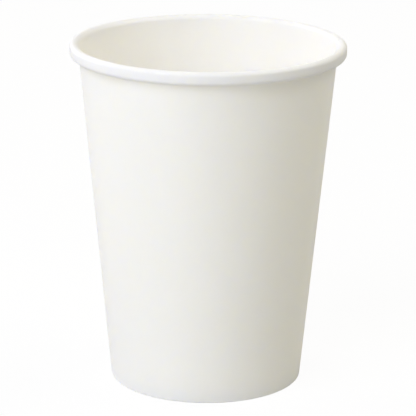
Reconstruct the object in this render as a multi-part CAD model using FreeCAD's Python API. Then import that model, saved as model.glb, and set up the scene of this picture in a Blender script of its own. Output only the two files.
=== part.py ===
# Single-wall paper hot cup: a tapered sidewall with a rolled rim, a lapped side seam and a
# folded foot, and a base disc whose skirt is sealed into that fold.
# Millimetres, +Z up, origin on the table under the centre of the foot, mouth upward.
import FreeCAD, Part
import math
import os
from typing import NamedTuple

from FreeCAD import Vector

# Overall form
rim_diameter = 90.0  # over the rolled rim, the size that lids are sold by
cup_height = 113.0
base_diameter = 63.0  # the wall's outside face, carried down to the table

# Board
wall_board = 0.35  # coated cupstock of the sidewall
base_board = 0.28  # lighter cupstock of the base disc
seal_clearance = 0.03  # film of melted coating between two sealed faces

# Rolled rim
rim_overhang = 3.07  # how far the roll stands out from the wall at its underside
rim_height = 4.3  # from the roll's underside to its crest
shoulder_radius = 1.35  # outside of the roll, beyond the crest and under it
curl_clearance = 0.15  # between the tucked edge and the wall
tuck_radius = 1.1  # outside of the last turn, inside the roll
tuck_angle = 50.0  # how far the cut edge turns past upright

# Folded foot
base_recess = 4.7  # from the table to the underside of the base disc
hem_reveal = 1.0  # from the hem's cut edge to the underside of the base disc
skirt_gap = 0.15  # from the skirt's cut edge to the fold
base_bend_radius = 0.8  # inside of the bend from base disc to skirt

# Side seam
seam_azimuth = 8.0  # inner ply's cut edge, anticlockwise from +X
lap_angle = 11.0  # double board, from the inner ply's cut edge to the outer one's
climb_angle = 3.5  # where the outer ply climbs over the inner one
skive_height = 3.0  # above the foot's bend, where the lap is pressed thin
ply_bite = 0.1  # how deep the lap's outline is set into the wall it is sealed to
rim_line_depth = 0.12  # the inner ply's cut edge, pressed nearly flush round the roll
rim_line_angle = 0.8

# How finely bends are drawn: the most that one flat of a bend turns, in degrees
shown_step = 30.0
hidden_step = 50.0
same_point = 1e-6

# Worked out from the sizes above
rim_radius = rim_diameter / 2
base_radius = base_diameter / 2
rim_underside = cup_height - rim_height
wall_slope = (rim_radius - rim_overhang - base_radius) / rim_underside
taper = math.atan(wall_slope)
taper_degrees = math.degrees(taper)
crest_radius = rim_radius - shoulder_radius
base_top = base_recess + base_board


class Bend(NamedTuple):
    """One bend of a board in section; start and end are directions seen from its centre."""

    radial: float
    height: float
    face: float  # bend radius of the skin that is the cup's outside on the wall
    lining: float  # bend radius of the skin that is the cup's inside on the wall
    start: float
    end: float
    step: float = shown_step


def wall_radius(height, depth=0.0):
    """Radius, at a height, of the cone that lies a depth inside the wall's outside face."""
    return base_radius + wall_slope * height - depth / math.cos(taper)


def polar(radius, degrees, height):
    """Point at a radius and an azimuth on a level plane."""
    turn = math.radians(degrees)
    return Vector(radius * math.cos(turn), radius * math.sin(turn), height)


def on_bend(bend, radius, degrees):
    """Point of the section that lies in one direction from a bend's centre."""
    turn = math.radians(degrees)
    return Vector(bend.radial + radius * math.cos(turn), 0, bend.height + radius * math.sin(turn))


def skin(bends, side, start=None, end=None):
    """Corners of one skin of the board; each bend is a few short flats of equal turn."""
    points = [] if start is None else [start]
    for bend in bends:
        turn = bend.end - bend.start
        flats = math.ceil(abs(turn) / bend.step)
        radius = getattr(bend, side)
        points += [on_bend(bend, radius, bend.start + turn * i / flats) for i in range(flats + 1)]
    return points if end is None else points + [end]


def board_section(bends, start=(None, None), end=(None, None)):
    """Closed section of a bent board; start and end give the two corners of a flat cut edge."""
    face = skin(bends, "face", start[0], end[0])
    lining = skin(bends, "lining", start[1], end[1])
    outline = face + lining[::-1] + face[:1]
    corners = [point for point, after in zip(outline, outline[1:])
               if not point.isEqual(after, same_point)]
    return Part.Face(Part.makePolygon(corners + corners[:1]))


def spun(section, first=0.0, sweep=360.0):
    """A section turned about the cup's axis, from one azimuth through an angle."""
    solid = section.revolve(Vector(0, 0, 0), Vector(0, 0, 1), sweep)
    solid.rotate(Vector(0, 0, 0), Vector(0, 0, 1), first)
    return solid


def foot_bends():
    """The two creases of the fold, from the hem out to the wall."""
    hem_thickness = 2 * wall_board + base_board + 2 * seal_clearance
    inner = Bend(wall_radius(wall_board, hem_thickness - wall_board), wall_board,
                 wall_board, 0, 180 - taper_degrees, 270, hidden_step)
    outer = Bend(wall_radius(wall_board, wall_board), wall_board,
                 wall_board, 0, 270, 360 - taper_degrees, hidden_step)
    return [inner, outer]


def rim_bends():
    """The visible bends of the roll: up over the crest, down its outside and under it."""
    flare_radius = ((crest_radius - wall_radius(cup_height, wall_board))
                    / (1 / math.cos(taper) - wall_slope))
    flare = Bend(crest_radius, cup_height - flare_radius,
                 flare_radius - wall_board, flare_radius, 180 - taper_degrees, 90)
    shoulder = Bend(crest_radius, cup_height - shoulder_radius,
                    shoulder_radius - wall_board, shoulder_radius, 90, 0)
    underside = Bend(crest_radius, rim_underside + shoulder_radius,
                     shoulder_radius - wall_board, shoulder_radius, 0, -90)
    return [flare, shoulder, underside]


def tail_bends():
    """The hidden end of the roll: up between roll and wall, then tucked into the roll."""
    tail_radius = ((crest_radius - curl_clearance - wall_radius(rim_underside))
                   / (1 + wall_slope))
    height = rim_underside + tail_radius
    tail = Bend(crest_radius, height, tail_radius - wall_board, tail_radius, -90, -180, hidden_step)
    tuck = Bend(crest_radius - tail_radius + tuck_radius, height,
                tuck_radius - wall_board, tuck_radius, -180, -180 - tuck_angle, hidden_step)
    return [tail, tuck]


def hem_edge():
    """Corners of the cut edge at the top of the hem: its skin toward the axis, then the other."""
    height = base_recess - hem_reveal
    outer_depth = wall_board + base_board + 2 * seal_clearance
    inner_depth = outer_depth + wall_board
    rise = wall_board * math.sin(taper)
    return (Vector(wall_radius(height + rise, inner_depth), 0, height + rise),
            Vector(wall_radius(height, outer_depth), 0, height))


def lap_outline(height, thickness):
    """Level outline of the lap's outer ply, which climbs over the inner ply's cut edge."""
    outside = wall_radius(height, -thickness)
    sunk = wall_radius(height, ply_bite)
    start = polar(sunk, seam_azimuth - climb_angle, height)
    top = polar(outside, seam_azimuth, height)
    top_middle = polar(outside, seam_azimuth + lap_angle / 2, height)
    top_end = polar(outside, seam_azimuth + lap_angle, height)
    end = polar(sunk, seam_azimuth + lap_angle, height)
    under_middle = polar(sunk, seam_azimuth + (lap_angle - climb_angle) / 2, height)
    return Part.Wire([
        Part.LineSegment(start, top).toShape(),
        Part.Arc(top, top_middle, top_end).toShape(),
        Part.LineSegment(top_end, end).toShape(),
        Part.Arc(end, under_middle, start).toShape(),
    ])


def lap_top():
    """Height of the lap's upper end, in the crook under the roll."""
    tail = tail_bends()[0]
    reach = tail.lining + curl_clearance
    beside_roll = tail.radial - wall_radius(tail.height, -wall_board)
    return tail.height - math.sqrt(reach ** 2 - beside_roll ** 2)


def make_lap():
    """Outer ply of the seam, skived above the foot and ending in the crook under the roll."""
    outlines = [
        lap_outline(wall_board, 0.0),
        lap_outline(wall_board + skive_height, wall_board),
        lap_outline(lap_top(), wall_board),
    ]
    return Part.makeLoft(outlines, True, True)


def climb_outline(height):
    """Level outline of the channel that the climbing ply leaves beside the inner cut edge."""
    clear = wall_radius(height, wall_board + ply_bite)
    start = polar(clear, seam_azimuth - climb_angle, height)
    root = polar(wall_radius(height), seam_azimuth, height)
    edge = polar(clear, seam_azimuth, height)
    return Part.makePolygon([start, root, edge, start])


def make_seam_channel():
    """Room inside the cup between the climbing ply and the inner ply's cut edge."""
    top = lap_top() - wall_board
    return Part.makeLoft([climb_outline(base_top), climb_outline(top)], True, True)


def make_rim_line():
    """The inner ply's cut edge, carried on from the channel round the visible part of the roll."""
    cut = [bend._replace(face=bend.lining - rim_line_depth, lining=bend.lining + ply_bite)
           for bend in rim_bends()]
    foot = lap_top() - 2 * wall_board
    start = (Vector(wall_radius(foot, wall_board - rim_line_depth), 0, foot),
             Vector(wall_radius(foot, wall_board + ply_bite), 0, foot))
    return spun(board_section(cut, start=start), seam_azimuth - rim_line_angle, rim_line_angle)


def make_sidewall():
    """Wall, roll and fold, bent from one blank whose ends lap at the side seam."""
    bends = foot_bends() + rim_bends() + tail_bends()
    wall = spun(board_section(bends, start=hem_edge()))
    return wall.fuse(make_lap()).cut(make_seam_channel()).cut(make_rim_line())


def make_base_disc():
    """Flat base with a skirt turned down between the wall and the hem."""
    skirt_face = wall_board + seal_clearance
    bend_height = base_recess - base_bend_radius
    bend = Bend(wall_radius(bend_height, skirt_face + base_bend_radius + base_board), bend_height,
                base_bend_radius, base_bend_radius + base_board, 90, -taper_degrees, hidden_step)
    skirt_end = wall_board + skirt_gap
    centre = (Vector(0, 0, base_recess), Vector(0, 0, base_top))
    edge = (Vector(wall_radius(skirt_end, skirt_face + base_board), 0, skirt_end),
            Vector(wall_radius(skirt_end, skirt_face), 0, skirt_end))
    return spun(board_section([bend], start=centre, end=edge))


def main():
    os.makedirs("parts", exist_ok=True)
    make_sidewall().exportStep("parts/sidewall.step")
    make_base_disc().exportStep("parts/base_disc.step")


if __name__ == "__main__":
    main()
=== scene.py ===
"""A plain white single-wall paper hot cup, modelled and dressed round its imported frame.

The cup is two blanks of coated cupstock. One is rolled into the tapered wall, curled outward
into the rim and folded under at the foot, and its ends lap at the side seam. The other is the
base disc, whose turned-down skirt is sealed into that fold.
"""

import logging
import math
from dataclasses import dataclass
from enum import Enum
from typing import Callable, Iterable, NamedTuple

import bmesh
import bpy
from mathutils import Euler, Matrix, Vector


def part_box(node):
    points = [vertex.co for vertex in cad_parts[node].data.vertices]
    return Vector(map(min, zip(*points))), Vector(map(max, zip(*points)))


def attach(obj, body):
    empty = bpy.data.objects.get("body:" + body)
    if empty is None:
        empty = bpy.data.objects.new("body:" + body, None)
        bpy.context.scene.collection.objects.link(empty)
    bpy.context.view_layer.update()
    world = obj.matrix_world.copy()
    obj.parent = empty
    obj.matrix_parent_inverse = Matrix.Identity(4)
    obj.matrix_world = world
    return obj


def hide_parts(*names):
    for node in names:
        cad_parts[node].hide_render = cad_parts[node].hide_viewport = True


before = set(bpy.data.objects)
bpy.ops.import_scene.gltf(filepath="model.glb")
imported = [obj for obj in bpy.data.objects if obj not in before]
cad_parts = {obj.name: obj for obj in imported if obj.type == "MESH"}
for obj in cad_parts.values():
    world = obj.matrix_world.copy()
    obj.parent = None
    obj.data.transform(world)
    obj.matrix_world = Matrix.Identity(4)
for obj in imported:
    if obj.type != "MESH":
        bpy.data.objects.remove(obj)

MM = 0.001
# Stations closer together than this are one
SAME_POINT_MM = 1e-4
# Edges that turn more than this stay sharp
SMOOTH_DEGREES = 35.0

log = logging.getLogger("paper_cup")


class BoardSide(Enum):
    """Which material slot of a blank each side of its board uses."""

    PRINT_FACE = 0
    COATED_FACE = 1
    CUT_EDGE = 2


class Station(NamedTuple):
    """A point of a section: distance from the cup's axis and height, in millimetres."""

    radial: float
    height: float


@dataclass(frozen=True)
class Bend:
    """A bend of the board's middle plane; angles are directions seen from its centre."""

    radial: float
    height: float
    radius: float
    start: float
    end: float
    steps: int

    def stations(self) -> list[Station]:
        """Points along the bend.

        Returns:
            Evenly spaced stations, both ends included.
        """
        points = []
        for index in range(self.steps + 1):
            turn = math.radians(self.start + (self.end - self.start) * index / self.steps)
            points.append(Station(self.radial + self.radius * math.cos(turn),
                                  self.height + self.radius * math.sin(turn)))
        return points


@dataclass(frozen=True)
class CupSizes:
    """Sizes of the cup in millimetres; the first three come from the frame."""

    rim_radius: float
    cup_height: float
    base_top: float
    base_radius: float = 31.5
    wall_board: float = 0.35
    base_board: float = 0.28
    seal: float = 0.03
    rim_overhang: float = 3.07
    rim_height: float = 4.3
    shoulder_radius: float = 1.35
    curl_clearance: float = 0.15
    tuck_radius: float = 1.1
    tuck_angle: float = 50.0
    fold_inside: float = 0.08
    hem_reveal: float = 1.0
    skirt_gap: float = 0.15
    base_bend_radius: float = 0.8
    seam_azimuth: float = 8.0
    lap_angle: float = 11.0
    climb_angle: float = 3.5
    skive_height: float = 3.0
    rim_line_depth: float = 0.12

    @classmethod
    def from_frame(cls) -> "CupSizes":
        """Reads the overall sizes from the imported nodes.

        Returns:
            The cup's sizes.
        """
        wall_low, wall_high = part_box("sidewall")
        base_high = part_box("base_disc")[1]
        return cls((wall_high.x - wall_low.x) / 2 / MM, wall_high.z / MM, base_high.z / MM)

    @property
    def rim_underside(self) -> float:
        """Height of the roll's underside."""
        return self.cup_height - self.rim_height

    @property
    def wall_slope(self) -> float:
        """Radius that the wall gains for each millimetre of height."""
        return (self.rim_radius - self.rim_overhang - self.base_radius) / self.rim_underside

    @property
    def taper(self) -> float:
        """The wall's lean from upright, in radians."""
        return math.atan(self.wall_slope)

    @property
    def crest_radius(self) -> float:
        """Radius of the rim's highest line."""
        return self.rim_radius - self.shoulder_radius

    @property
    def base_recess(self) -> float:
        """Height of the base disc's underside."""
        return self.base_top - self.base_board

    @property
    def hem_thickness(self) -> float:
        """Thickness of wall, skirt and hem sealed together."""
        return 2 * self.wall_board + self.base_board + 2 * self.seal

    def wall_radius(self, height: float, depth: float = 0.0) -> float:
        """Radius of the cone that lies a depth inside the wall's outside face.

        Args:
            height: Height above the table.
            depth: Distance inward from the outside face, square to the board.

        Returns:
            The radius at that height.
        """
        return self.base_radius + self.wall_slope * height - depth / math.cos(self.taper)

    def on_wall(self, heights: Iterable[float], depth: float) -> list[Station]:
        """Stations up the wall.

        Args:
            heights: Heights of the stations.
            depth: Distance inward from the outside face.

        Returns:
            One station for each height.
        """
        return [Station(self.wall_radius(height, depth), height) for height in heights]


def linear(hex_colour: str) -> tuple[float, float, float, float]:
    """Turns an sRGB hex colour into linear red, green, blue and alpha.

    Args:
        hex_colour: Six hex digits after a hash sign.

    Returns:
        The linear colour, opaque.
    """
    parts = [int(hex_colour[i:i + 2], 16) / 255 for i in (1, 3, 5)]
    low = [part / 12.92 if part <= 0.04045 else ((part + 0.055) / 1.055) ** 2.4 for part in parts]
    return low[0], low[1], low[2], 1.0


def add_node(tree: bpy.types.NodeTree, kind: str, settings: dict | None = None,
             links: dict | None = None) -> bpy.types.Node:
    """Adds one node with its settings and the links into it.

    Args:
        tree: The node tree.
        kind: The node's type name.
        settings: Attribute or input names with their values.
        links: Input names or numbers with the sockets that feed them.

    Returns:
        The new node.
    """
    node = tree.nodes.new(kind)
    for name, value in (settings or {}).items():
        if isinstance(name, str) and hasattr(node, name):
            setattr(node, name, value)
        else:
            node.inputs[name].default_value = value
    for name, socket in (links or {}).items():
        tree.links.new(socket, node.inputs[name])
    return node


@dataclass(frozen=True)
class BoardFinish:
    """A paperboard surface: its shade, the cloudiness of its fibres and its gloss.

    Light scatters about depth_mm deep in the board, times glow for red, green and blue, so
    what comes through is a little warmer than what went in.
    """

    name: str
    shade: str
    cloud_shade: str
    cloud_mm: float
    fibre_mm: float
    fibre_depth_mm: float
    roughness: float
    roughness_spread: float
    ior: float = 1.5
    depth_mm: float = 0.25
    glow: tuple[float, float, float] = (1.0, 0.96, 0.8)
    coat: float = 0.0
    coat_roughness: float = 0.3
    cloud_detail: float = 3.0
    cloud_sharpness: float = 0.55
    fibre_detail: float = 4.0
    fibre_sharpness: float = 0.6
    grain_stretch: float = 0.45

    def material(self) -> bpy.types.Material:
        """Makes the material.

        Returns:
            A node material on Object coordinates.
        """
        material = bpy.data.materials.new(self.name)
        material.use_nodes = True
        tree = material.node_tree
        tree.nodes.clear()
        place = add_node(tree, "ShaderNodeTexCoord").outputs["Object"]
        # Formation: fibres settle in faint clouds, seen as slightly lighter and darker patches
        clouds = add_node(tree, "ShaderNodeTexNoise",
                          {"Scale": 1 / (self.cloud_mm * MM), "Detail": self.cloud_detail,
                           "Roughness": self.cloud_sharpness},
                          {"Vector": place})
        shade = add_node(tree, "ShaderNodeMix",
                         {"data_type": "RGBA", 6: linear(self.shade), 7: linear(self.cloud_shade)},
                         {0: clouds.outputs["Fac"]})
        # Fibres lie mostly along the board's grain, up the cup, so the grain pattern is drawn out
        grain = add_node(tree, "ShaderNodeMapping", {"Scale": (1.0, 1.0, self.grain_stretch)},
                         {"Vector": place})
        fibres = add_node(tree, "ShaderNodeTexNoise",
                          {"Scale": 1 / (self.fibre_mm * MM), "Detail": self.fibre_detail,
                           "Roughness": self.fibre_sharpness},
                          {"Vector": grain.outputs["Vector"]})
        gloss = add_node(tree, "ShaderNodeMapRange",
                         {"To Min": self.roughness - self.roughness_spread,
                          "To Max": self.roughness + self.roughness_spread},
                         {"Value": fibres.outputs["Fac"]})
        relief = add_node(tree, "ShaderNodeBump", {"Distance": self.fibre_depth_mm * MM},
                          {"Height": fibres.outputs["Fac"]})
        # The shaded side of the wall glows a little where the inside is lit, least at the lap
        shader = add_node(tree, "ShaderNodeBsdfPrincipled",
                          {"IOR": self.ior, "Coat Weight": self.coat,
                          "Coat Roughness": self.coat_roughness, "Subsurface Weight": 1.0,
                          "Subsurface Radius": self.glow, "Subsurface Scale": self.depth_mm * MM},
                          {"Base Color": shade.outputs[2], "Roughness": gloss.outputs["Result"],
                           "Normal": relief.outputs["Normal"]})
        add_node(tree, "ShaderNodeOutputMaterial", {}, {"Surface": shader.outputs["BSDF"]})
        return material


# Bleached cupstock, calendered and uncoated outside: matt, warm white, faintly clouded
PRINT_FACE = BoardFinish(
    name="bleached_cupstock_calendered",
    shade="#F8F7F4",
    cloud_shade="#F6F5F1",
    cloud_mm=9.0,
    fibre_mm=0.9,
    fibre_depth_mm=0.012,
    roughness=0.62,
    roughness_spread=0.05,
)
# The same board with a skin of extruded polyethylene: smoother, cleaner white, faintly satin
COATED_FACE = BoardFinish(
    name="cupstock_polyethylene_coated",
    shade="#FBFAF6",
    cloud_shade="#FAF8F4",
    cloud_mm=12.0,
    fibre_mm=1.4,
    fibre_depth_mm=0.008,
    roughness=0.52,
    roughness_spread=0.04,
    ior=1.51,
    coat=0.08,
    coat_roughness=0.4,
)
# Die-cut edge of the board: bare fibre, a little darker and quite rough
CUT_EDGE = BoardFinish(
    name="cupstock_die_cut_edge",
    shade="#EAE6DC",
    cloud_shade="#DED9CC",
    cloud_mm=1.5,
    fibre_mm=0.35,
    fibre_depth_mm=0.04,
    roughness=0.85,
    roughness_spread=0.05,
)


def deselect_all() -> None:
    """Clears the object selection, in object mode."""
    if bpy.context.object and bpy.context.object.mode != "OBJECT":
        bpy.ops.object.mode_set(mode="OBJECT")
    bpy.ops.object.select_all(action="DESELECT")


def select_only(piece: bpy.types.Object) -> None:
    """Makes one object the only selected and the active one.

    Args:
        piece: The object.
    """
    deselect_all()
    piece.select_set(True)
    bpy.context.view_layer.objects.active = piece


def smooth_bends(piece: bpy.types.Object) -> None:
    """Shades bends smooth and keeps cut edges and steps sharp."""
    select_only(piece)
    bpy.ops.object.shade_smooth_by_angle(angle=math.radians(SMOOTH_DEGREES))


class BlankFormer:
    """Forms a round board piece: a ring extruded along a section and given its thickness."""

    # One column of vertices to each degree, which the seam, knurling and pleats count on
    COLUMNS = 360

    def __init__(self, name: str, start: Station) -> None:
        """Adds the ring that the board's first cut edge follows.

        Args:
            name: The piece's name.
            start: Where the section starts.
        """
        deselect_all()
        bpy.ops.mesh.primitive_circle_add(vertices=self.COLUMNS, radius=start.radial * MM,
                                          location=(0, 0, start.height * MM))
        self.piece = bpy.context.object
        self.piece.name = name
        self.piece.data.name = name
        bpy.ops.object.transform_apply(location=True, rotation=True, scale=True)
        self.here = start
        bpy.ops.object.mode_set(mode="EDIT")
        bpy.ops.mesh.select_mode(type="VERT")
        bpy.ops.mesh.select_all(action="SELECT")

    def extrude_to(self, stations: Iterable[Station]) -> None:
        """Draws the ring on through each station.

        Args:
            stations: The section's next points.
        """
        for station in stations:
            rise = (station.height - self.here.height) * MM
            spread = station.radial / self.here.radial
            bpy.ops.mesh.extrude_region_move(TRANSFORM_OT_translate={"value": (0, 0, rise)})
            bpy.ops.transform.resize(value=(spread, spread, 1), center_override=(0, 0, 0))
            self.here = station

    def close_centre(self, height: float) -> None:
        """Closes the ring to a point on the axis.

        Args:
            height: Height of that point, in millimetres.
        """
        rise = (height - self.here.height) * MM
        bpy.ops.mesh.extrude_region_move(TRANSFORM_OT_translate={"value": (0, 0, rise)})
        bpy.ops.mesh.merge(type="CENTER")

    def thicken(self, board: float, outward: Station) -> None:
        """Gives the sheet its thickness, the print face on the side of a given normal.

        Args:
            board: The board's thickness in millimetres.
            outward: A station whose print face looks away from the cup's axis.
        """
        bpy.ops.object.mode_set(mode="OBJECT")
        nearest = min(self.piece.data.polygons, key=lambda face: abs(
            face.center.z - outward.height * MM) + abs(face.center.xy.length - outward.radial * MM))
        if nearest.normal.xy.dot(nearest.center.xy) < 0:
            bpy.ops.object.mode_set(mode="EDIT")
            bpy.ops.mesh.select_all(action="SELECT")
            bpy.ops.mesh.flip_normals()
            bpy.ops.object.mode_set(mode="OBJECT")
        # The thickness gives faces only the material numbers that already have a slot
        select_only(self.piece)
        for _ in BoardSide:
            bpy.ops.object.material_slot_add()
        for face in self.piece.data.polygons:
            face.material_index = BoardSide.PRINT_FACE.value
        solidify = self.piece.modifiers.new("board", "SOLIDIFY")
        solidify.thickness = board * MM
        solidify.offset = 0
        solidify.use_even_offset = True
        solidify.use_quality_normals = True
        solidify.material_offset = BoardSide.COATED_FACE.value
        solidify.material_offset_rim = BoardSide.CUT_EDGE.value
        bpy.ops.object.modifier_apply(modifier=solidify.name)


def pick(piece: bpy.types.Object, wanted: Callable[[bmesh.types.BMVert], bool]) -> None:
    """Selects the vertices that pass a test, in edit mode.

    Args:
        piece: The mesh object, which becomes the active one in edit mode.
        wanted: The test, given one vertex.
    """
    if piece.mode != "EDIT":
        select_only(piece)
        bpy.ops.object.mode_set(mode="EDIT")
        bpy.ops.mesh.select_mode(type="VERT")
    bpy.ops.mesh.select_all(action="DESELECT")
    mesh = bmesh.from_edit_mesh(piece.data)
    for vertex in mesh.verts:
        if wanted(vertex):
            vertex.select = True
    mesh.select_flush_mode()
    bmesh.update_edit_mesh(piece.data)


def azimuth(vertex: bmesh.types.BMVert) -> float:
    """Direction of a vertex from the cup's axis, in degrees from +X."""
    return math.degrees(math.atan2(vertex.co.y, vertex.co.x)) % 360


def on_side(vertex: bmesh.types.BMVert, side: BoardSide) -> bool:
    """Whether a vertex lies on one side of its board."""
    return any(face.material_index == side.value for face in vertex.link_faces)


def near(first: float, second: float, reach: float = 0.25) -> bool:
    """Whether two numbers differ by less than a reach."""
    return abs(first - second) < reach


@dataclass
class Sidewall:
    """The wall blank: hem, fold, tapered wall, rolled rim and lapped side seam.

    Measures are in millimetres, but edge_slide and column_reach in degrees.
    """

    sizes: CupSizes
    knurl_depth: float = 0.1
    knurl_columns: int = 4
    knurl_low: float = 0.9
    knurl_margin: float = 0.35
    wall_rows: tuple[float, ...] = (30.0, 55.0, 80.0, 100.0)
    # How close the columns and rows of vertices beside a step lie, so that it stays sharp
    edge_slide: float = 0.96
    fine_row: float = 0.06
    # How far a vertex may lie from the column or the skin that is picked
    column_reach: float = 0.03
    skin_reach: float = 0.1
    # Flats in each bend
    fold_steps: int = 6
    crest_steps: int = 12
    underside_steps: int = 10
    tail_steps: int = 8
    tuck_steps: int = 5

    def lap_top(self) -> float:
        """Finds where the lap ends in the crook under the roll.

        Returns:
            The height of its upper end.
        """
        sizes = self.sizes
        tail_radius, tail_height = self.tail()
        reach = tail_radius + sizes.curl_clearance
        beside = sizes.crest_radius - sizes.wall_radius(tail_height, -sizes.wall_board)
        return tail_height - math.sqrt(reach ** 2 - beside ** 2)

    def tail(self) -> tuple[float, float]:
        """Fits the roll's hidden upward bend between the roll and the wall.

        Returns:
            Its outside radius and the height of its centre.
        """
        sizes = self.sizes
        room = sizes.crest_radius - sizes.curl_clearance - sizes.wall_radius(sizes.rim_underside)
        radius = room / (1 + sizes.wall_slope)
        return radius, sizes.rim_underside + radius

    def hem_stations(self) -> list[Station]:
        """Goes down the hem, with rows where the knurling starts and stops.

        Returns:
            The hem's stations.
        """
        sizes = self.sizes
        top = sizes.base_recess - sizes.hem_reveal
        rows = [top, top - self.knurl_margin, top - 2 * self.knurl_margin,
                self.knurl_low, self.knurl_low - self.knurl_margin]
        return sizes.on_wall(rows, sizes.hem_thickness - sizes.wall_board / 2)

    def fold_bends(self) -> list[Bend]:
        """Turns the board under at the foot.

        Returns:
            The two bends of the fold, from the hem out to the wall.
        """
        sizes = self.sizes
        outside = sizes.wall_board + sizes.fold_inside
        middle = sizes.fold_inside + sizes.wall_board / 2
        lean = math.degrees(sizes.taper)
        inner = Bend(sizes.wall_radius(outside, sizes.hem_thickness - outside), outside, middle,
                     180 - lean, 270, self.fold_steps)
        outer = Bend(sizes.wall_radius(outside, outside), outside, middle,
                     270, 360 - lean, self.fold_steps)
        return [inner, outer]

    def wall_stations(self) -> list[Station]:
        """Goes up the wall, with rows where the seam's two edges start and stop.

        Returns:
            The wall's stations.
        """
        sizes = self.sizes
        skived = sizes.wall_board + sizes.skive_height
        channel_top = self.lap_top() - sizes.wall_board
        rows = [2 * self.fine_row + sizes.wall_board, skived, sizes.base_top - self.fine_row,
                sizes.base_top, *self.wall_rows, channel_top, channel_top + self.fine_row,
                self.lap_top(), self.lap_top() + self.fine_row]
        return sizes.on_wall(rows, sizes.wall_board / 2)

    def rim_bends(self) -> list[Bend]:
        """Rolls the rim, from the flare at the mouth round to the tucked cut edge.

        Returns:
            The roll's five bends.
        """
        sizes = self.sizes
        lean = math.degrees(sizes.taper)
        half = sizes.wall_board / 2
        flare = ((sizes.crest_radius - sizes.wall_radius(sizes.cup_height, sizes.wall_board))
                 / (1 / math.cos(sizes.taper) - sizes.wall_slope))
        tail_radius, tail_height = self.tail()
        tuck_centre = sizes.crest_radius - tail_radius + sizes.tuck_radius
        return [
            Bend(sizes.crest_radius, sizes.cup_height - flare, flare - half,
                 180 - lean, 90, self.crest_steps),
            Bend(sizes.crest_radius, sizes.cup_height - sizes.shoulder_radius,
                 sizes.shoulder_radius - half, 90, 0, self.crest_steps),
            Bend(sizes.crest_radius, sizes.rim_underside + sizes.shoulder_radius,
                 sizes.shoulder_radius - half, 0, -90, self.underside_steps),
            Bend(sizes.crest_radius, tail_height, tail_radius - half,
                 -90, -180, self.tail_steps),
            Bend(tuck_centre, tail_height, sizes.tuck_radius - half,
                 -180, -180 - sizes.tuck_angle, self.tuck_steps),
        ]

    def build(self) -> bpy.types.Object:
        """Forms the blank, then works the seam and the knurling into it.

        Returns:
            The finished piece.
        """
        stations = self.hem_stations()
        for bend in self.fold_bends():
            stations += bend.stations()
        stations += self.wall_stations()
        for bend in self.rim_bends():
            stations += bend.stations()
        distinct = [stations[0]]
        for station in stations[1:]:
            if math.dist(station, distinct[-1]) > SAME_POINT_MM:
                distinct.append(station)
        former = BlankFormer("sidewall_blank", distinct[0])
        former.extrude_to(distinct[1:])
        self.slide_seam_columns(former.piece)
        former.thicken(self.sizes.wall_board, self.sizes.on_wall(self.wall_rows[1:2], 0.0)[0])
        self.raise_outer_ply(former.piece)
        self.open_inner_edge(former.piece)
        self.press_rim_line(former.piece)
        self.knurl_hem(former.piece)
        smooth_bends(former.piece)
        return former.piece

    def slide_seam_columns(self, piece: bpy.types.Object) -> None:
        """Moves a column of vertices close beside each cut edge, so that its step is sharp.

        Args:
            piece: The wall, still a sheet without thickness.
        """
        sizes = self.sizes
        for column, turn in ((sizes.seam_azimuth - 1, self.edge_slide),
                             (sizes.seam_azimuth + sizes.lap_angle + 1, -self.edge_slide)):
            pick(piece, lambda vertex: near(azimuth(vertex), column))
            bpy.ops.transform.rotate(value=-math.radians(turn), orient_axis="Z",
                                     center_override=(0, 0, 0))

    @property
    def inner_edge(self) -> float:
        """Azimuth of the column that was slid close beside the inner ply's cut edge."""
        return self.sizes.seam_azimuth - 1 + self.edge_slide

    def seam_columns(self) -> list[float]:
        """Lists the columns of vertices from the climb to the outer cut edge.

        Returns:
            Their azimuths.
        """
        sizes = self.sizes
        first = math.ceil(sizes.seam_azimuth - sizes.climb_angle)
        last = int(sizes.seam_azimuth + sizes.lap_angle)
        return [self.inner_edge if near(column, sizes.seam_azimuth - 1) else float(column)
                for column in range(first, last + 1)]

    def climb(self, piece: bpy.types.Object, column: float, rows: tuple[float, float],
              depth: float) -> None:
        """Moves one column of a skin of the board out by what the outer ply has climbed there.

        Args:
            piece: The wall.
            column: The column's azimuth.
            rows: Heights between which it moves.
            depth: Distance of the skin inward from the wall's outside face.
        """
        sizes = self.sizes
        pick(piece, lambda vertex: rows[0] < vertex.co.z / MM < rows[1]
             and near(azimuth(vertex), column, self.column_reach)
             and near(vertex.co.xy.length / MM, sizes.wall_radius(vertex.co.z / MM, depth),
                      self.skin_reach))
        start = sizes.seam_azimuth - sizes.climb_angle
        share = min((column - start) / sizes.climb_angle, 1.0)
        distance = share * sizes.wall_board * MM
        turn = math.radians(column)
        bpy.ops.transform.translate(
            value=(distance * math.cos(turn), distance * math.sin(turn), 0))

    def raise_outer_ply(self, piece: bpy.types.Object) -> None:
        """Lifts the print face where the outer ply climbs and laps over the inner one.

        Args:
            piece: The wall.
        """
        sizes = self.sizes
        rows = (sizes.wall_board + sizes.skive_height - self.fine_row,
                self.lap_top() + self.fine_row / 2)
        for column in self.seam_columns():
            self.climb(piece, column, rows, 0.0)

    def open_inner_edge(self, piece: bpy.types.Object) -> None:
        """Draws the coated face outward beside the inner ply's cut edge.

        Args:
            piece: The wall.
        """
        sizes = self.sizes
        rows = (sizes.base_top - self.fine_row / 2,
                self.lap_top() - sizes.wall_board + self.fine_row / 2)
        for column in self.seam_columns():
            if column < sizes.seam_azimuth:
                self.climb(piece, column, rows, sizes.wall_board)

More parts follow.
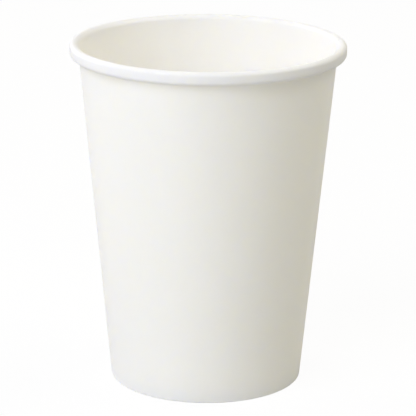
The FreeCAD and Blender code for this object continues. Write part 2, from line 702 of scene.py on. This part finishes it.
    def press_rim_line(self, piece: bpy.types.Object) -> None:
        """Carries the inner ply's cut edge on round the visible part of the roll.

        Args:
            piece: The wall.
        """
        sizes = self.sizes
        low = (self.lap_top() - sizes.wall_board + self.fine_row / 2) * MM
        pick(piece, lambda vertex: vertex.co.z > low
             and near(azimuth(vertex), self.inner_edge, self.column_reach)
             and on_side(vertex, BoardSide.COATED_FACE)
             and not on_side(vertex, BoardSide.CUT_EDGE)
             and self.is_shown_rim(vertex))
        bpy.ops.transform.shrink_fatten(value=-sizes.rim_line_depth * MM)

    def is_shown_rim(self, vertex: bmesh.types.BMVert) -> bool:
        """Tells the visible part of the roll from its hidden end.

        Args:
            vertex: A vertex of the wall.

        Returns:
            Whether it lies on the mouth or on the outside of the roll.
        """
        sizes = self.sizes
        place = (vertex.co.xy.length / MM, vertex.co.z / MM)
        roll_centre = (sizes.crest_radius, sizes.cup_height - sizes.rim_height / 2)
        mouth = place[0] < sizes.wall_radius(place[1], sizes.wall_board / 2)
        return (mouth or math.dist(place, roll_centre)
                > sizes.shoulder_radius - sizes.wall_board / 2)

    def knurl_hem(self, piece: bpy.types.Object) -> None:
        """Presses upright flutes into the hem, as the wheel that seals the base leaves them.

        Args:
            piece: The wall.
        """
        sizes = self.sizes
        low = (self.knurl_low - self.fine_row) * MM
        high = (sizes.base_recess - sizes.hem_reveal - 1.5 * self.knurl_margin) * MM
        pick(piece, lambda vertex: low < vertex.co.z < high
             and vertex.co.xy.length < sizes.wall_radius(
                 vertex.co.z / MM, sizes.hem_thickness - sizes.wall_board / 2) * MM
             and round(azimuth(vertex)) % self.knurl_columns < self.knurl_columns / 2)
        bpy.ops.transform.shrink_fatten(value=-self.knurl_depth * MM)


@dataclass
class BaseDisc:
    """The base blank: a flat panel with its edge turned down into a skirt."""

    sizes: CupSizes
    dish: float = 0.2
    panel_rings: tuple[float, ...] = (0.97, 0.9, 0.75, 0.5, 0.25, 0.08, 0.02)
    bend_steps: int = 8
    pleat_depth: float = 0.05
    pleat_columns: int = 5

    def bend(self) -> Bend:
        """Turns the skirt down from the panel.

        Returns:
            The bend, from the skirt in to the panel.
        """
        sizes = self.sizes
        height = sizes.base_recess - sizes.base_bend_radius
        depth = sizes.wall_board + sizes.seal + sizes.base_board + sizes.base_bend_radius
        return Bend(sizes.wall_radius(height, depth), height,
                    sizes.base_bend_radius + sizes.base_board / 2,
                    -math.degrees(sizes.taper), 90, self.bend_steps)

    def build(self) -> bpy.types.Object:
        """Forms the disc.

        Returns:
            The finished piece.
        """
        sizes = self.sizes
        depth = sizes.wall_board + sizes.seal + sizes.base_board / 2
        skirt_end = sizes.wall_board + sizes.skirt_gap
        start = sizes.on_wall([skirt_end], depth)[0]
        former = BlankFormer("base_disc_blank", start)
        bend = self.bend().stations()
        former.extrude_to(bend)
        panel = bend[-1]
        former.extrude_to(Station(panel.radial * share, panel.height - self.sink(share))
                          for share in self.panel_rings)
        former.close_centre(panel.height - self.dish)
        former.thicken(sizes.base_board, start)
        self.crimp_pleats(former.piece)
        smooth_bends(former.piece)
        return former.piece

    def sink(self, share: float) -> float:
        """How far the panel lies below its edge, at a share of its radius."""
        return self.dish * (1 - share ** 2)

    def crimp_pleats(self, piece: bpy.types.Object) -> None:
        """Draws in fine pleats where the flat disc was gathered into its skirt.

        Args:
            piece: The disc.
        """
        sizes = self.sizes
        low = (sizes.base_recess - 3 * sizes.base_bend_radius) * MM
        inside = self.bend().radial * MM
        pick(piece, lambda vertex: vertex.co.z > low and vertex.co.xy.length > inside
             and round(azimuth(vertex)) % self.pleat_columns == 0)
        bpy.ops.transform.shrink_fatten(value=-self.pleat_depth * MM)


@dataclass(frozen=True)
class SoftLamp:
    """A square soft box that looks at the cup; its bearing grows from the camera toward +X."""

    name: str
    bearing: float
    elevation: float
    size: float
    power: float
    colour: str
    distance: float = 1.5

    def build(self, target: Vector) -> None:
        """Places the lamp.

        Args:
            target: What it points at.
        """
        bearing = math.radians(self.bearing)
        elevation = math.radians(self.elevation)
        away = Vector((math.sin(bearing) * math.cos(elevation),
                       -math.cos(bearing) * math.cos(elevation), math.sin(elevation)))
        deselect_all()
        bpy.ops.object.light_add(type="AREA", location=target + away * self.distance,
                                 rotation=away.to_track_quat("Z", "Y").to_euler())
        lamp = bpy.context.object
        lamp.name = self.name
        lamp.data.shape = "SQUARE"
        lamp.data.size = self.size
        lamp.data.energy = self.power
        lamp.data.color = linear(self.colour)[:3]


# The two keys stand at the left front, so the wall darkens toward the right. The rear ones
# light the wall's two edges and, over the rim, the inside across from each.
LAMPS = (
    SoftLamp("high_key_soft_box", -40, 40, 1.0, 11.4, "#E7EEFF"),
    SoftLamp("low_key_soft_box", -35, 15, 1.0, 6.5, "#FFFDFD"),
    SoftLamp("left_rear_soft_box", -130, 30, 1.0, 7.4, "#FDF9FF"),
    SoftLamp("right_rear_soft_box", 100, 50, 1.2, 9.7, "#FFFBEF"),
)


@dataclass
class Studio:
    """Pale floor, white surround, soft lamps and the camera.

    The camera's place, sensor and lens are in millimetres, and other lengths in metres.
    """

    target: Vector
    floor_size: float = 6.0
    floor_paint: str = "#CECECE"
    floor_white_share: float = 0.93
    surround_colour: str = "#FFF8DC"
    surround_strength: float = 0.25
    most_bounces: int = 16
    diffuse_bounces: int = 12
    camera_place: tuple[float, float, float] = (0.388, -782.5, 285.6)
    camera_dip: float = 16.295
    camera_roll: float = 0.476
    camera_sensor: float = 36.0
    camera_lens: float = 213.5
    camera_range: tuple[float, float] = (0.01, 50.0)

    def build(self) -> None:
        """Sets up everything round the cup."""
        self.add_floor()
        self.add_surround()
        for lamp in LAMPS:
            lamp.build(self.target)
        self.add_camera()
        # White board passes light round the inside of the cup many times before it gets out
        light_paths = bpy.context.scene.cycles
        light_paths.max_bounces = self.most_bounces
        light_paths.diffuse_bounces = self.diffuse_bounces
        bpy.context.scene.view_settings.view_transform = "Standard"

    def add_floor(self) -> None:
        """A white sweep that shows only the cup's soft shadow."""
        deselect_all()
        bpy.ops.mesh.primitive_plane_add(size=self.floor_size)
        floor = bpy.context.object
        floor.name = "floor"
        material = bpy.data.materials.new("matt_white_sweep")
        material.use_nodes = True
        tree = material.node_tree
        tree.nodes.clear()
        seen = add_node(tree, "ShaderNodeLightPath").outputs["Is Camera Ray"]
        share = add_node(tree, "ShaderNodeMath",
                         {"operation": "MULTIPLY", 1: self.floor_white_share}, {0: seen})
        # Greyer to other rays than to the eye, so the floor throws less light up at the cup
        shade = add_node(tree, "ShaderNodeMix",
                         {"data_type": "RGBA", 6: linear(self.floor_paint), 7: linear("#FFFFFF")},
                         {0: seen})
        paint = add_node(tree, "ShaderNodeBsdfDiffuse", {}, {"Color": shade.outputs[2]})
        white = add_node(tree, "ShaderNodeEmission", {"Color": linear("#FFFFFF"), "Strength": 1.0})
        both = add_node(tree, "ShaderNodeMixShader", {},
                        {0: share.outputs[0], 1: paint.outputs[0], 2: white.outputs[0]})
        add_node(tree, "ShaderNodeOutputMaterial", {}, {"Surface": both.outputs[0]})
        floor.data.materials.append(material)

    def add_surround(self) -> None:
        """A white surround to the eye, and an even soft light on the cup."""
        world = bpy.data.worlds.new("white_surround")
        bpy.context.scene.world = world
        world.use_nodes = True
        tree = world.node_tree
        tree.nodes.clear()
        path = add_node(tree, "ShaderNodeLightPath").outputs
        shiny = add_node(tree, "ShaderNodeMath", {"operation": "MAXIMUM"},
                         {0: path["Is Camera Ray"], 1: path["Is Glossy Ray"]})
        seen = add_node(tree, "ShaderNodeMath", {"operation": "MAXIMUM"},
                        {0: shiny.outputs[0], 1: path["Is Transmission Ray"]})
        soft = add_node(tree, "ShaderNodeBackground",
                        {"Color": linear(self.surround_colour), "Strength": self.surround_strength})
        white = add_node(tree, "ShaderNodeBackground",
                         {"Color": linear("#FFFFFF"), "Strength": 1.0})
        both = add_node(tree, "ShaderNodeMixShader", {},
                        {0: seen.outputs[0], 1: soft.outputs[0], 2: white.outputs[0]})
        add_node(tree, "ShaderNodeOutputWorld", {}, {"Surface": both.outputs[0]})

    def add_camera(self) -> None:
        """A long lens, looking down over the near rim at the inside of the far wall."""
        deselect_all()
        tilt = Euler((math.radians(90 - self.camera_dip), 0, 0)).to_matrix()
        roll = Matrix.Rotation(math.radians(self.camera_roll), 3, "Z")
        bpy.ops.object.camera_add(location=Vector(self.camera_place) * MM,
                                  rotation=(tilt @ roll).to_euler())
        camera = bpy.context.object
        camera.name = "camera"
        camera.data.sensor_width = self.camera_sensor
        camera.data.lens = self.camera_lens
        camera.data.clip_start, camera.data.clip_end = self.camera_range
        bpy.context.scene.camera = camera


def dress(piece: bpy.types.Object, node: str, faces: Iterable[BoardFinish]) -> None:
    """Gives a piece its finishes and ties it to the frame.

    Args:
        piece: The modelled piece.
        node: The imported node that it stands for.
        faces: Finishes in the order of the board's sides.
    """
    for place, finish in zip(piece.material_slots, faces):
        place.material = bpy.data.materials.get(finish.name) or finish.material()
    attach(piece, "root")
    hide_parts(node)
    log.info("%s: %d faces", piece.name, len(piece.data.polygons))


def main() -> None:
    """Builds the cup and the studio."""
    logging.basicConfig(level=logging.INFO)
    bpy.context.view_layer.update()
    sizes = CupSizes.from_frame()
    dress(Sidewall(sizes).build(), "sidewall",
          (PRINT_FACE, COATED_FACE, CUT_EDGE))
    # The skirt's outward face is the top of the panel, which is the coated side
    dress(BaseDisc(sizes).build(), "base_disc",
          (COATED_FACE, PRINT_FACE, CUT_EDGE))
    Studio(Vector((0, 0, sizes.cup_height * MM / 2))).build()


if __name__ == "__main__":
    main()
